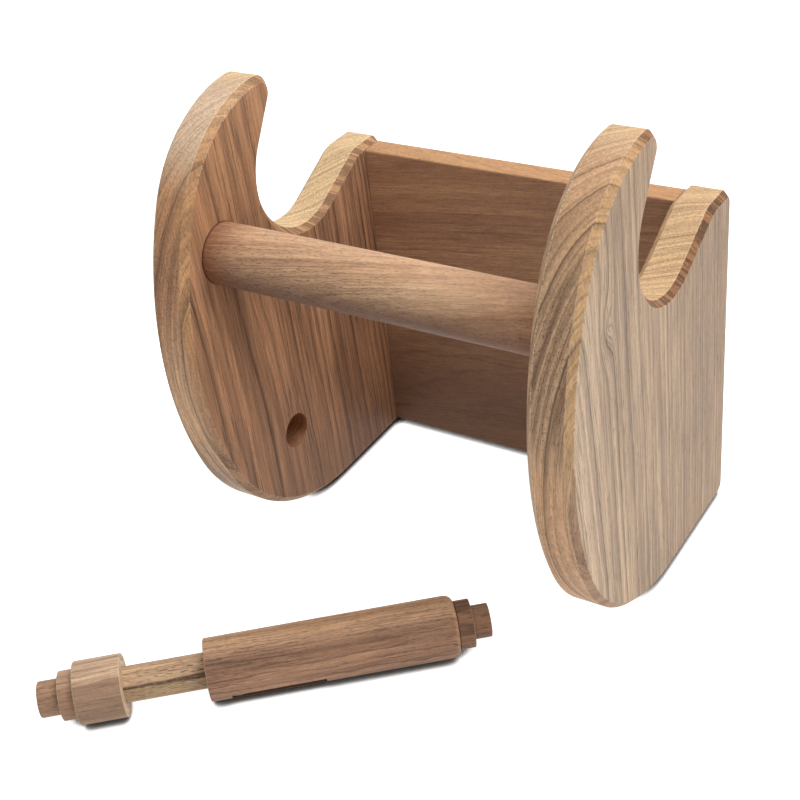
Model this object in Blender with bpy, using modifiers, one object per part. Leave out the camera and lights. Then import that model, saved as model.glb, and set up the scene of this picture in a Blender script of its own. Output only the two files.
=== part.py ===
"""Wall-mounted toilet roll holder in oiled teak, with its sprung roller taken out and laid in front.

X runs along the bar, +Y points to the wall and +Z is up. The origin is the centre of the back
board's rear face, which is the face that meets the wall. The holder stands on the flat feet of its
cheeks, and the roller lies on the same surface.
"""

import math

import bmesh
import bpy
from mathutils import Vector

MM = 0.001

# Clearances
FIT = 0.3 * MM  # between two pieces that are glued or seated together
RUNNING_FIT = 0.3 * MM  # round the plunger rod, where it slides

# Cheeks, the two side panels
INNER_WIDTH = 127.0 * MM
CHEEK_THICKNESS = 15.8 * MM
CHEEK_CHAMFER = 2.3 * MM
BACK_HEIGHT = 130.0 * MM
CORNER_RADIUS = 5.0 * MM
HUMP_TOP = 12.5 * MM
HUMP_RADIUS = 11.0 * MM
HUMP_SLOPE = 27.0
HUMP_FALL = 22.5 * MM
NOTCH_RADIUS = 25.5 * MM
HORN_LEAN = 123.0
HORN_RISE = 16.4 * MM
TIP_RADIUS = 6.5 * MM
BROW_RADIUS = 51.4 * MM
BROW_END = -64.4
FRONT_RADIUS = 130.0 * MM
FRONT_END = -111.0

# Back board
BOARD_THICKNESS = 10.2 * MM
BOARD_EASING = 0.5 * MM

# Cross bar and its sockets in the cheeks
BAR_DIAMETER = 21.8 * MM
BAR_FROM_WALL = 100.7 * MM
BAR_HEIGHT = 128.6 * MM
BAR_SOCKET_DEPTH = 8.0 * MM

# Bores in the cheeks that carry the roller's tips
ROLLER_FROM_WALL = 77.7 * MM
ROLLER_HEIGHT = 39.5 * MM
ROLLER_BORE_DEPTH = 9.0 * MM
ROLLER_BORE_CLEARANCE = 0.6 * MM

# Dowels that join the board to the cheeks
DOWEL_DIAMETER = 5.0 * MM
DOWEL_LENGTH = 20.0 * MM
DOWEL_INSET = 30.0 * MM  # from the board's top and bottom edges
DOWEL_EASING = 0.4 * MM

# Roller, measured along its own axis from the tip of the plunger
ROLLER_DIAMETER = 21.8 * MM
ROD_DIAMETER = 12.4 * MM
STEP_DIAMETER = 17.0 * MM
PLUNGER_TIP = 7.3 * MM
STEP_WIDTH = 5.4 * MM
COLLAR_WIDTH = 16.2 * MM
EXPOSED_ROD = 28.2 * MM
ROD_IN_BARREL = 24.0 * MM
BARREL_LENGTH = 86.8 * MM
BARREL_ROUND = 3.0 * MM
PLUG_TIP = 6.2 * MM
PLUG_TIP_DIAMETER = 11.8 * MM
PLUG_SHANK = 14.0 * MM
EDGE_EASING = 0.6 * MM
COLLAR_EASING = 0.3 * MM

# Stop pin in the rod and the slot in the barrel that it runs in
PIN_DIAMETER = 4.0 * MM
SLOT_FROM_END = 7.2 * MM
PIN_BELOW_SURFACE = 0.7 * MM
PIN_DEPTH = 3.0 * MM  # past the rod's axis
SLOT_TURN = -54.0  # round the roller, from straight down

# Compression spring between the rod and the plug
WIRE_DIAMETER = 1.0 * MM
COIL_DIAMETER = 10.6 * MM
ACTIVE_CURLS = 10
CLOSED_GAP = 0.5 * MM
POINTS_PER_CURL = 10

# Where the roller lies, as the place of the plunger's tip and its turn from the bar's direction
ROLLER_TIP_X = -80.1 * MM
ROLLER_TIP_Y = -213.6 * MM
ROLLER_HEADING = 40.2

# Fineness of round shapes
CHORD_ERROR = 0.04 * MM
LARGEST_STEP = 7.5
TURNED_STEPS = 64
SMALL_TURNED_STEPS = 24
CUTTER_MARGIN = 3.0 * MM
SHARP_ANGLE = 32.0

# The turn that lays an upright piece along X
ACROSS = (0, math.pi / 2, 0)

# Sizes that follow from the ones above
ROLLER_RADIUS = ROLLER_DIAMETER / 2
ROD_RADIUS = ROD_DIAMETER / 2
STEP_RADIUS = STEP_DIAMETER / 2
BAR_RADIUS = BAR_DIAMETER / 2
PIN_RADIUS = PIN_DIAMETER / 2
BORE_RADIUS = ROD_RADIUS + RUNNING_FIT
CHEEK_CENTRE_X = (INNER_WIDTH + CHEEK_THICKNESS) / 2
BOARD_HEIGHT = BACK_HEIGHT - 2 * CHEEK_CHAMFER
STROKE = EXPOSED_ROD - FIT
COLLAR_START = PLUNGER_TIP + STEP_WIDTH
BARREL_START = COLLAR_START + COLLAR_WIDTH + EXPOSED_ROD
BARREL_END = BARREL_START + BARREL_LENGTH
ROD_END = BARREL_START + ROD_IN_BARREL
PLUG_START = BARREL_END - PLUG_SHANK
SLOT_START = BARREL_START + SLOT_FROM_END
SLOT_WIDTH = PIN_DIAMETER + 2 * RUNNING_FIT
SLOT_LENGTH = STROKE + PIN_DIAMETER + 2 * RUNNING_FIT
PIN_STATION = SLOT_START + RUNNING_FIT + PIN_RADIUS

TEAK_PALE = (0.50, 0.35, 0.22)
TEAK_WARM = (0.38, 0.23, 0.14)
TEAK_BROWN = (0.30, 0.18, 0.10)
TEAK_DARK = (0.20, 0.11, 0.06)
STEEL = (0.60, 0.60, 0.60)


def new_collection(name):
    """A collection linked to the scene."""
    collection = bpy.data.collections.new(name)
    bpy.context.scene.collection.children.link(collection)
    return collection


def dress(obj, colour, roughness=0.55, metallic=0.0):
    """Give the object a material of its own."""
    made = bpy.data.materials.new(obj.name)
    made.use_nodes = True
    shader = made.node_tree.nodes["Principled BSDF"]
    shader.inputs["Base Color"].default_value = (*colour, 1.0)
    shader.inputs["Roughness"].default_value = roughness
    shader.inputs["Metallic"].default_value = metallic
    obj.data.materials.clear()
    obj.data.materials.append(made)


def shade(mesh):
    """Shade round faces smooth and keep the real edges sharp."""
    mesh.shade_smooth()
    mesh.set_sharp_from_angle(angle=math.radians(SHARP_ANGLE))


def add_object(name, mesh, collection, parent, location=(0, 0, 0), rotation=(0, 0, 0)):
    """An object in a collection, placed under its parent."""
    obj = bpy.data.objects.new(name, mesh)
    collection.objects.link(obj)
    obj.parent = parent
    obj.location = location
    obj.rotation_euler = rotation
    return obj


def add_empty(name, collection, parent, location, rotation=(0, 0, 0)):
    """An empty that carries other objects."""
    return add_object(name, None, collection, parent, location, rotation)


def cut(obj, cutter):
    """Take the cutter's shape out of the object."""
    boolean = obj.modifiers.new("cut_" + cutter.name, "BOOLEAN")
    boolean.operation = "DIFFERENCE"
    boolean.solver = "EXACT"
    boolean.object = cutter


def as_cutter(obj):
    """Show the object only as a wire guide."""
    obj.hide_render = True
    obj.display_type = "WIRE"
    return obj


def box(name, size, collection, parent, location, rotation=(0, 0, 0)):
    """A box of the given size round its own centre."""
    mesh = bpy.data.meshes.new(name)
    body = bmesh.new()
    bmesh.ops.create_cube(body, size=1.0)
    bmesh.ops.scale(body, vec=size, verts=body.verts)
    body.to_mesh(mesh)
    body.free()
    return add_object(name, mesh, collection, parent, location, rotation)


def cylinder(name, radius, length, collection, parent, location, rotation=(0, 0, 0), steps=TURNED_STEPS):
    """A plain cylinder round its own centre, along its own Z."""
    mesh = bpy.data.meshes.new(name)
    body = bmesh.new()
    bmesh.ops.create_cone(
        body, cap_ends=True, segments=steps, radius1=radius, radius2=radius, depth=length
    )
    body.to_mesh(mesh)
    body.free()
    shade(mesh)
    return add_object(name, mesh, collection, parent, location, rotation)


def round_corner(radius, height, easing, towards, steps=4):
    """Profile points of a rounded rim, from its end face to its side, or back for a lower rim.

    The rim's side is at the radius and its end face at the height. towards is +1 for an upper rim,
    listed from the end face down, and -1 for a lower rim, listed from the side down.
    """
    points = []
    for step in range(steps + 1):
        angle = math.pi / 2 * step / steps
        across = radius - easing + easing * math.sin(angle)
        along = height - towards * (easing - easing * math.cos(angle))
        points.append((across, along))
    return points if towards > 0 else points[::-1]


def turned(name, profile, collection, parent, location=(0, 0, 0), rotation=(0, 0, 0),
           steps=TURNED_STEPS, hollow=False):
    """A solid of revolution round its own Z. A hollow profile closes on itself down the bore."""
    mesh = bpy.data.meshes.new(name)
    body = bmesh.new()
    points = [body.verts.new((radius, 0, height)) for radius, height in profile]
    pairs = list(zip(points, points[1:]))
    if hollow:
        pairs.append((points[-1], points[0]))
    for pair in pairs:
        body.edges.new(pair)
    body.to_mesh(mesh)
    body.free()
    obj = add_object(name, mesh, collection, parent, location, rotation)
    screw = obj.modifiers.new("turn", "SCREW")
    screw.axis = "Z"
    screw.angle = 2 * math.pi
    screw.steps = steps
    screw.render_steps = steps
    screw.use_merge_vertices = True
    screw.merge_threshold = 0.01 * MM
    return settle(obj)


def settle(obj):
    """Replace a curve or a modified mesh by the plain mesh that it makes."""
    bpy.context.view_layer.update()
    shape = obj.evaluated_get(bpy.context.evaluated_depsgraph_get())
    mesh = bpy.data.meshes.new_from_object(shape)
    body = bmesh.new()
    body.from_mesh(mesh)
    bmesh.ops.remove_doubles(body, verts=body.verts, dist=0.01 * MM)
    body.to_mesh(mesh)
    body.free()
    shade(mesh)
    name = obj.name
    collection = obj.users_collection[0]
    parent, location, rotation = obj.parent, obj.location.copy(), obj.rotation_euler.copy()
    bpy.data.objects.remove(obj, do_unlink=True)
    mesh.name = name
    return add_object(name, mesh, collection, parent, location, rotation)


class Pen:
    """Draws an outline in straight runs and arcs that meet smoothly. Headings are in degrees."""

    def __init__(self, across, up, heading):
        self.place = Vector((across, up))
        self.heading = heading
        self.points = [self.place.copy()]

    def line(self, length):
        """Go straight ahead."""
        angle = math.radians(self.heading)
        self.place += length * Vector((math.cos(angle), math.sin(angle)))
        self.points.append(self.place.copy())

    def arc(self, radius, heading):
        """Turn along an arc until the pen points along the new heading."""
        turn = heading - self.heading
        side = math.copysign(1, turn)
        start = math.radians(self.heading)
        centre = self.place + side * radius * Vector((-math.sin(start), math.cos(start)))
        fine = math.degrees(2 * math.acos(1 - CHORD_ERROR / radius))
        count = max(2, math.ceil(abs(turn) / min(fine, LARGEST_STEP)))
        for step in range(1, count + 1):
            angle = math.radians(self.heading + turn * step / count)
            outward = Vector((math.sin(angle), -math.cos(angle)))
            self.points.append(centre + side * radius * outward)
        self.place = self.points[-1].copy()
        self.heading = heading

    def landing_arc(self, heading):
        """Turn along the one arc that ends at height zero, and so lands flat."""
        turn = math.radians(abs(heading - self.heading))
        self.arc(self.place.y / (1 - math.cos(turn)), heading)


def cheek_outline(behind):
    """The cheek seen from its side, as distance from the wall and height, clockwise.

    It runs up the back, over the hump, round the notch, over the horn's tip, down the long front
    curve and back along the flat foot. behind is how far it reaches back past the wall.
    """
    pen = Pen(-behind, CORNER_RADIUS, 90)
    pen.line(BACK_HEIGHT - 2 * CORNER_RADIUS)
    pen.arc(CORNER_RADIUS, 0)
    pen.line(HUMP_TOP + behind - CORNER_RADIUS)
    pen.arc(HUMP_RADIUS, -HUMP_SLOPE)
    pen.line(HUMP_FALL)
    pen.arc(NOTCH_RADIUS, HORN_LEAN)
    pen.line(HORN_RISE)
    pen.arc(TIP_RADIUS, 0)
    pen.arc(BROW_RADIUS, BROW_END)
    pen.arc(FRONT_RADIUS, FRONT_END)
    pen.landing_arc(-180)
    pen.line(pen.place.x + behind - CORNER_RADIUS)
    pen.arc(CORNER_RADIUS, -270)
    return pen.points[:-1]


def panel(name, outline, thickness, chamfer, collection, parent, centre_x):
    """A flat panel with an even chamfer round both faces. Its outline stands in the YZ plane."""
    curve = bpy.data.curves.new(name, "CURVE")
    curve.dimensions = "2D"
    curve.fill_mode = "BOTH"
    curve.extrude = thickness / 2 - chamfer
    curve.bevel_depth = chamfer
    curve.bevel_resolution = 0
    curve.offset = -chamfer
    spline = curve.splines.new("POLY")
    spline.points.add(len(outline) - 1)
    for point, place in zip(spline.points, outline):
        point.co = (place.x, place.y, 0, 1)
    spline.use_cyclic_u = True
    facing = (math.pi / 2, 0, -math.pi / 2)
    return settle(add_object(name, curve, collection, parent, (centre_x, 0, 0), facing))


def cheek(name, side, parts, cutters, parent, colour):
    """One side panel, chamfered all round and then planed flat along its back."""
    behind = CHEEK_CHAMFER + FIT
    centre_x = side * CHEEK_CENTRE_X
    obj = panel(name, cheek_outline(behind), CHEEK_THICKNESS, CHEEK_CHAMFER, parts, parent, centre_x)
    dress(obj, colour)
    inner_x = side * INNER_WIDTH / 2
    plane_depth = behind + CUTTER_MARGIN
    plane_size = (CHEEK_THICKNESS + 2 * CUTTER_MARGIN, plane_depth, BACK_HEIGHT + 2 * CUTTER_MARGIN)
    plane_place = (centre_x, plane_depth / 2, BACK_HEIGHT / 2)
    cut(obj, as_cutter(box(name + "_plane", plane_size, cutters, parent, plane_place)))

    def blind_hole(tag, radius, depth, from_wall, height, steps):
        """A hole from the inner face into the cheek."""
        middle = inner_x + side * (depth - CUTTER_MARGIN) / 2
        hole = cylinder(name + tag, radius, depth + CUTTER_MARGIN, cutters, parent,
                        (middle, -from_wall, height), ACROSS, steps)
        cut(obj, as_cutter(hole))

    blind_hole("_bar_socket", BAR_RADIUS + FIT, BAR_SOCKET_DEPTH, BAR_FROM_WALL, BAR_HEIGHT, TURNED_STEPS)
    blind_hole("_roller_bore", ROD_RADIUS + ROLLER_BORE_CLEARANCE, ROLLER_BORE_DEPTH,
               ROLLER_FROM_WALL, ROLLER_HEIGHT, TURNED_STEPS)
    for level, height in dowel_heights().items():
        blind_hole("_dowel_hole_" + level, DOWEL_DIAMETER / 2 + FIT, DOWEL_LENGTH / 2 + FIT,
                   BOARD_THICKNESS / 2, height, SMALL_TURNED_STEPS)
    return obj


def dowel_heights():
    """The heights of the upper and the lower dowels."""
    lowest = CHEEK_CHAMFER
    return {
        "lower": lowest + DOWEL_INSET,
        "upper": lowest + BOARD_HEIGHT - DOWEL_INSET,
    }


def back_board(parts, cutters, parent):
    """The board between the cheeks, flush with their backs."""
    size = (INNER_WIDTH - 2 * FIT, BOARD_THICKNESS, BOARD_HEIGHT)
    place = (0, -BOARD_THICKNESS / 2, CHEEK_CHAMFER + BOARD_HEIGHT / 2)
    obj = box("back_board", size, parts, parent, place)
    dress(obj, TEAK_DARK)
    easing = obj.modifiers.new("easing", "BEVEL")
    easing.width = BOARD_EASING
    easing.segments = 2
    easing.limit_method = "ANGLE"
    for side_name, side in (("left", -1), ("right", 1)):
        for level, height in dowel_heights().items():
            depth = DOWEL_LENGTH / 2 + FIT
            middle = side * (INNER_WIDTH / 2 - (depth - CUTTER_MARGIN) / 2)
            hole = cylinder(
                "board_hole_" + side_name + "_" + level, DOWEL_DIAMETER / 2 + FIT, depth + CUTTER_MARGIN,
                cutters, parent, (middle, -BOARD_THICKNESS / 2, height), ACROSS, SMALL_TURNED_STEPS
            )
            cut(obj, as_cutter(hole))
    return obj


def dowels(parts, parent):
    """Four hidden dowels, half in the board and half in a cheek."""
    half = DOWEL_LENGTH / 2
    radius = DOWEL_DIAMETER / 2
    profile = [
        (0, half),
        (radius - DOWEL_EASING, half),
        (radius, half - DOWEL_EASING),
        (radius, -half + DOWEL_EASING),
        (radius - DOWEL_EASING, -half),
        (0, -half),
    ]
    for side_name, side in (("left", -1), ("right", 1)):
        for level, height in dowel_heights().items():
            place = (side * INNER_WIDTH / 2, -BOARD_THICKNESS / 2, height)
            dowel = turned("dowel_" + side_name + "_" + level, profile, parts, parent, place,
                           ACROSS, SMALL_TURNED_STEPS)
            dress(dowel, TEAK_PALE)


def cross_bar(parts, parent):
    """The fixed bar, with both ends glued into blind sockets."""
    half = INNER_WIDTH / 2 + BAR_SOCKET_DEPTH - FIT
    profile = [
        (0, half),
        *round_corner(BAR_RADIUS, half, EDGE_EASING, 1, 1),
        *round_corner(BAR_RADIUS, -half, EDGE_EASING, -1, 1),
        (0, -half),
    ]
    place = (0, -BAR_FROM_WALL, BAR_HEIGHT)
    dress(turned("cross_bar", profile, parts, parent, place, ACROSS), TEAK_WARM)


def roller_barrel(parts, cutters, axis):
    """The bored barrel: square where the rod comes out and rounded at the plug's end."""
    profile = [
        (BORE_RADIUS, BARREL_END),
        *round_corner(ROLLER_RADIUS, BARREL_END, BARREL_ROUND, 1, 6),
        *round_corner(ROLLER_RADIUS, BARREL_START, COLLAR_EASING, -1, 1),
        (BORE_RADIUS, BARREL_START),
    ]
    obj = turned("roller_barrel", profile, parts, axis, hollow=True)
    dress(obj, TEAK_BROWN)
    turn = math.radians(SLOT_TURN)
    wall_middle = (ROLLER_RADIUS + CUTTER_MARGIN) / 2
    place = (wall_middle * math.cos(turn), wall_middle * math.sin(turn), SLOT_START + SLOT_LENGTH / 2)
    size = (ROLLER_RADIUS + CUTTER_MARGIN, SLOT_WIDTH, SLOT_LENGTH)
    cut(obj, as_cutter(box("barrel_slot", size, cutters, axis, place, (0, 0, turn))))


def roller_end_plug(parts, axis):
    """The stepped plug glued into the barrel's end. Its tip turns in a cheek's bore."""
    shoulder = BARREL_END + FIT
    step_end = shoulder + STEP_WIDTH - FIT
    tip_end = step_end + PLUG_TIP
    shank = BORE_RADIUS - FIT
    tip_radius = PLUG_TIP_DIAMETER / 2
    profile = [
        (0, tip_end),
        *round_corner(tip_radius, tip_end, EDGE_EASING, 1, 3),
        (tip_radius, step_end),
        *round_corner(STEP_RADIUS, step_end, EDGE_EASING, 1, 3),
        (STEP_RADIUS, shoulder),
        (shank, shoulder),
        (shank, PLUG_START),
        (0, PLUG_START),
    ]
    dress(turned("roller_end_plug", profile, parts, axis), TEAK_DARK)


def plunger_rod(parts, cutters, axis):
    """The rod that slides in the barrel. Its outer end is the plunger's tip."""
    profile = [
        (0, ROD_END),
        *round_corner(ROD_RADIUS, ROD_END, EDGE_EASING, 1, 1),
        *round_corner(ROD_RADIUS, 0, EDGE_EASING, -1, 3),
        (0, 0),
    ]
    obj = turned("plunger_rod", profile, parts, axis)
    dress(obj, TEAK_PALE)
    reach = PIN_DEPTH + FIT
    length = reach + ROD_RADIUS + CUTTER_MARGIN
    hole = pin_shape("rod_pin_hole", PIN_RADIUS + FIT, length, length / 2 - reach, cutters, axis)
    cut(obj, as_cutter(hole))


def pin_shape(name, radius, length, middle, collection, axis):
    """A cylinder across the roller, on the line through the slot."""
    turn = math.radians(SLOT_TURN)
    place = (middle * math.cos(turn), middle * math.sin(turn), PIN_STATION)
    return cylinder(name, radius, length, collection, axis, place, (0, math.pi / 2, turn), SMALL_TURNED_STEPS)


def stop_pin(parts, axis):
    """The pin in the rod that runs in the barrel's slot and stops the plunger at both ends."""
    top = ROLLER_RADIUS - PIN_BELOW_SURFACE
    length = top + PIN_DEPTH
    dress(pin_shape("stop_pin", PIN_RADIUS, length, length / 2 - PIN_DEPTH, parts, axis), TEAK_BROWN)


def plunger_collar(parts, axis):
    """The stepped collar on the rod, as thick as the barrel, which a thumb pushes."""
    collar_end = COLLAR_START + COLLAR_WIDTH
    bore = ROD_RADIUS + FIT
    profile = [
        (bore, collar_end),
        *round_corner(ROLLER_RADIUS, collar_end, COLLAR_EASING, 1, 1),
        *round_corner(ROLLER_RADIUS, COLLAR_START, EDGE_EASING, -1, 3),
        (STEP_RADIUS, COLLAR_START),
        *round_corner(STEP_RADIUS, PLUNGER_TIP, EDGE_EASING, -1, 3),
        (bore, PLUNGER_TIP),
    ]
    dress(turned("plunger_collar", profile, parts, axis, hollow=True), TEAK_PALE)


def spring_path():
    """Points along the spring's wire: a closed curl at each end and open curls between them."""
    start = ROD_END + FIT + WIRE_DIAMETER / 2
    end = PLUG_START - FIT - WIRE_DIAMETER / 2
    closed_rise = WIRE_DIAMETER + CLOSED_GAP
    open_rise = (end - start - 2 * closed_rise) / ACTIVE_CURLS
    curls = ACTIVE_CURLS + 2
    radius = COIL_DIAMETER / 2
    points = []
    for step in range(curls * POINTS_PER_CURL + 1):
        curl = step / POINTS_PER_CURL
        opened = min(max(curl - 1, 0), ACTIVE_CURLS)
        height = start + closed_rise * (curl - opened) + open_rise * opened
        angle = 2 * math.pi * curl
        points.append(Vector((radius * math.cos(angle), radius * math.sin(angle), height)))
    lead_in = Vector((0, -WIRE_DIAMETER, 0))
    return [points[0] + lead_in, *points, points[-1] - lead_in]


def least_gap(points):
    """The least gap between two curls of the wire, measured on its points."""
    skip = POINTS_PER_CURL // 2
    nearest = min(
        (points[i] - points[j]).length
        for i in range(len(points))
        for j in range(i + skip, len(points))
    )
    return nearest - WIRE_DIAMETER


def plunger_spring(parts, axis):
    """The wire spring that pushes the plunger out."""
    points = spring_path()
    print("plunger_spring: least gap between curls %.2f mm" % (least_gap(points) / MM))
    curve = bpy.data.curves.new("plunger_spring", "CURVE")
    curve.dimensions = "3D"
    curve.bevel_depth = WIRE_DIAMETER / 2
    curve.bevel_resolution = 1
    curve.use_fill_caps = True
    spline = curve.splines.new("POLY")
    spline.points.add(len(points) - 1)
    for point, place in zip(spline.points, points):
        point.co = (*place, 1)
    dress(settle(add_object("plunger_spring", curve, parts, axis)), STEEL, roughness=0.3, metallic=1.0)


def build():
    """Model the whole object."""
    for obj in list(bpy.data.objects):
        bpy.data.objects.remove(obj, do_unlink=True)
    parts = new_collection("toilet_roll_holder")
    cutters = new_collection("cutters")

    surface = add_empty("standing_surface", parts, None, (0, 0, -BACK_HEIGHT / 2))
    cheek("left_cheek", -1, parts, cutters, surface, TEAK_WARM)
    cheek("right_cheek", 1, parts, cutters, surface, TEAK_PALE)
    back_board(parts, cutters, surface)
    dowels(parts, surface)
    cross_bar(parts, surface)

    lying = (0, math.pi / 2, math.radians(ROLLER_HEADING))
    tip_place = (ROLLER_TIP_X, ROLLER_TIP_Y, ROLLER_RADIUS)
    axis = add_empty("roller_axis", parts, surface, tip_place, lying)
    roller_barrel(parts, cutters, axis)
    roller_end_plug(parts, axis)
    plunger_rod(parts, cutters, axis)
    plunger_collar(parts, axis)
    stop_pin(parts, axis)
    plunger_spring(parts, axis)


build()
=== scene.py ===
"""Looks of the teak toilet roll holder: finely turned and chamfered pieces, each cut from its own
piece of figured wood, on a white surface in soft light.

Lengths are in millimetres with X along the bar, +Y to the wall and Z up from the surface that the
holder stands on. Each piece's object scale and place turn them into the frame's metres.
"""

import math

import bmesh
import bpy
from mathutils import Euler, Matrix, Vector


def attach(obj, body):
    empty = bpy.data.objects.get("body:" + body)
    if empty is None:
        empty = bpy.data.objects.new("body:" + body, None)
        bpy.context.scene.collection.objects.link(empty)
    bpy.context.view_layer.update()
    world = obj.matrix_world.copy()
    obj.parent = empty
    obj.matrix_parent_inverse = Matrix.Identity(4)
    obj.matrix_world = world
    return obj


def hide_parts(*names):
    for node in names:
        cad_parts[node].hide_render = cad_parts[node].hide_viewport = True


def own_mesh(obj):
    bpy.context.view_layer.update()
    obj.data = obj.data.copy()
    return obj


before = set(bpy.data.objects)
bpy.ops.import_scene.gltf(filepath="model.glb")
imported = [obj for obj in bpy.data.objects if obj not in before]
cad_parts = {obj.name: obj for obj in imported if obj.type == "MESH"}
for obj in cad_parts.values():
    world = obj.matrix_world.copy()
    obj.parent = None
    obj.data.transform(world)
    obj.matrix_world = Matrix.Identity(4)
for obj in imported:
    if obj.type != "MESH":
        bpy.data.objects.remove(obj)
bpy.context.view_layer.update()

MM = 0.001

# Sizes of the holder
INNER_WIDTH = 127.0
CHEEK_THICKNESS = 15.8
CHEEK_CHAMFER = 2.3
BACK_HEIGHT = 130.0
CORNER_RADIUS = 5.0
HUMP_TOP = 12.5
HUMP_RADIUS = 11.0
HUMP_SLOPE = 27.0
HUMP_FALL = 22.5
NOTCH_RADIUS = 25.5
HORN_LEAN = 123.0
HORN_RISE = 16.4
TIP_RADIUS = 6.5
BROW_RADIUS = 51.4
BROW_END = -64.4
FRONT_RADIUS = 130.0
FRONT_END = -111.0
BOARD_THICKNESS = 10.2
BAR_RADIUS = 10.9
BAR_FROM_WALL = 100.7
BAR_HEIGHT = 128.6
BAR_SOCKET_DEPTH = 8.0
ROLLER_FROM_WALL = 77.7
ROLLER_HEIGHT = 39.5
ROLLER_BORE_DEPTH = 9.0
ROLLER_BORE_RADIUS = 6.8

# Sizes of the roller, along its axis from the plunger's tip
ROLLER_RADIUS = 10.9
ROD_RADIUS = 6.2
BORE_RADIUS = 6.5
STEP_RADIUS = 8.5
PLUNGER_TIP = 7.3
STEP_WIDTH = 5.4
COLLAR_START = 12.7
COLLAR_END = 28.9
BARREL_START = 57.1
BARREL_END = 143.9
BARREL_ROUND = 3.0
ROD_END = 81.1
PLUG_TIP = 6.2
PLUG_TIP_RADIUS = 5.9
PLUG_SHANK = 14.0
SLOT_START = 64.3
SLOT_LENGTH = 32.5
SLOT_WIDTH = 4.6
SLOT_TURN = -54.0
SPRING_START = 81.4
SPRING_END = 129.6
WIRE_RADIUS = 0.5
COIL_RADIUS = 5.3
OPEN_CURLS = 10
CLOSED_RISE = 1.5
ROLLER_TIP = (-80.1, -213.6, 10.9)
ROLLER_HEADING = 40.2

# Small clearances and softened edges
GAP = 0.15
EASING = 0.8
FINE_EASING = 0.35

# How finely the pieces are drawn, and how far outlines and cutters reach past what they need
EASING_STEPS = 4
TURNED_STEPS = 128
CURL_STEPS = 32
WIRE_STEPS = 3
CHORD_ERROR = 0.008
PLANE_TOLERANCE = 1e-4
SHARP_DEGREES = 32
CUTTER_MARGIN = 3.0
END_MARGIN = 2.0
FACE_MARGIN = 1.0

# The floor, the lamps and the camera, in metres and degrees
FLOOR_Z = -BACK_HEIGHT / 2 * MM
FLOOR_SIZE = 3.0
FLOOR_TONE = (0.74, 0.74, 0.74)
# The floor's painted contact shadow: its darkest tone, and how far the occlusion that lays it
# reaches
CONTACT_SHADOW_TONE = (0.16, 0.155, 0.15)
CONTACT_REACH = 0.0038
SURROUNDINGS_LIGHT = 0.35
LAMPS = (
    # name, place, aim, size, power
    ("overhead_softbox", (0.25, 0.15, 0.95), (0, -0.08, -0.02), 0.9, 9.0),
    ("side_softbox", (0.95, -0.25, 0.35), (0, -0.08, 0), 0.6, 2.5),
)
CAMERA_PLACE = (0.23422, -0.42772, 0.35033 + FLOOR_Z)
CAMERA_TURN = (56.342, 5.620, 31.520)
CAMERA_LENS = 64.30

# Where the cheeks' tones change: Y from before their notch to behind it, and Z up their front
NOTCH_FRONT, NOTCH_BACK = -82, -64
GREYER_BELOW, GOLDEN_ABOVE = 80, 125
STREAK_FADE = 30
# FOOT_FADE is how far up a front edge the painted bounce light from the floor fades in.
FOOT_FADE = 34

# Tones that several woods share, the painted shade inside the cheeks' bores, and how far a hole's
# painted shade reaches past its surface
PORE_TONE = (62, 38, 26)
FLECK_TONE = (70, 46, 34)
BORE_SHADE_TONE = (166, 102, 60)
HOLE_MARGIN = 0.1

# The way round the rod and the collar to the side that is seen from below and in front
LOWER_FRONT = math.radians(-42.6)


def eased(corners):
    """A path of corners (a, b, radius) with each corner rounded by its radius."""
    path = []
    for index, (a, b, radius) in enumerate(corners):
        here = Vector((a, b))
        if radius == 0 or index in (0, len(corners) - 1):
            path.append(here)
            continue
        before = (Vector(corners[index - 1][:2]) - here).normalized()
        after = (Vector(corners[index + 1][:2]) - here).normalized()
        half = before.angle(after) / 2
        centre = here + (before + after).normalized() * radius / math.sin(half)
        start = here + before * radius / math.tan(half) - centre
        turn = math.copysign(math.pi - 2 * half, before.cross(after))
        for step in range(EASING_STEPS + 1):
            angle = -turn * step / EASING_STEPS
            cos, sin = math.cos(angle), math.sin(angle)
            arm = Vector((cos * start.x - sin * start.y, sin * start.x + cos * start.y))
            path.append(centre + arm)
    return path


class Pen:
    """Draws a smooth outline and notes the outward direction at each of its points."""

    def __init__(self, across, up, heading):
        self.place = Vector((across, up))
        self.heading = heading
        self.points = [(self.place.copy(), self.outward())]

    def outward(self):
        """The direction to the left of the heading, which is outside the cheek."""
        angle = math.radians(self.heading)
        return Vector((-math.sin(angle), math.cos(angle)))

    def line(self, length):
        """Go straight ahead."""
        angle = math.radians(self.heading)
        self.place += length * Vector((math.cos(angle), math.sin(angle)))
        self.points.append((self.place.copy(), self.outward()))

    def arc(self, radius, heading):
        """Turn along an arc until the pen points along the new heading."""
        first = self.heading
        side = math.copysign(1, heading - first)
        centre = self.place + side * radius * self.outward()
        fine = math.degrees(2 * math.acos(1 - CHORD_ERROR / radius))
        count = max(4, math.ceil(abs(heading - first) / fine))
        for step in range(1, count + 1):
            self.heading = first + (heading - first) * step / count
            self.place = centre - side * radius * self.outward()
            self.points.append((self.place.copy(), self.outward()))


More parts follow.
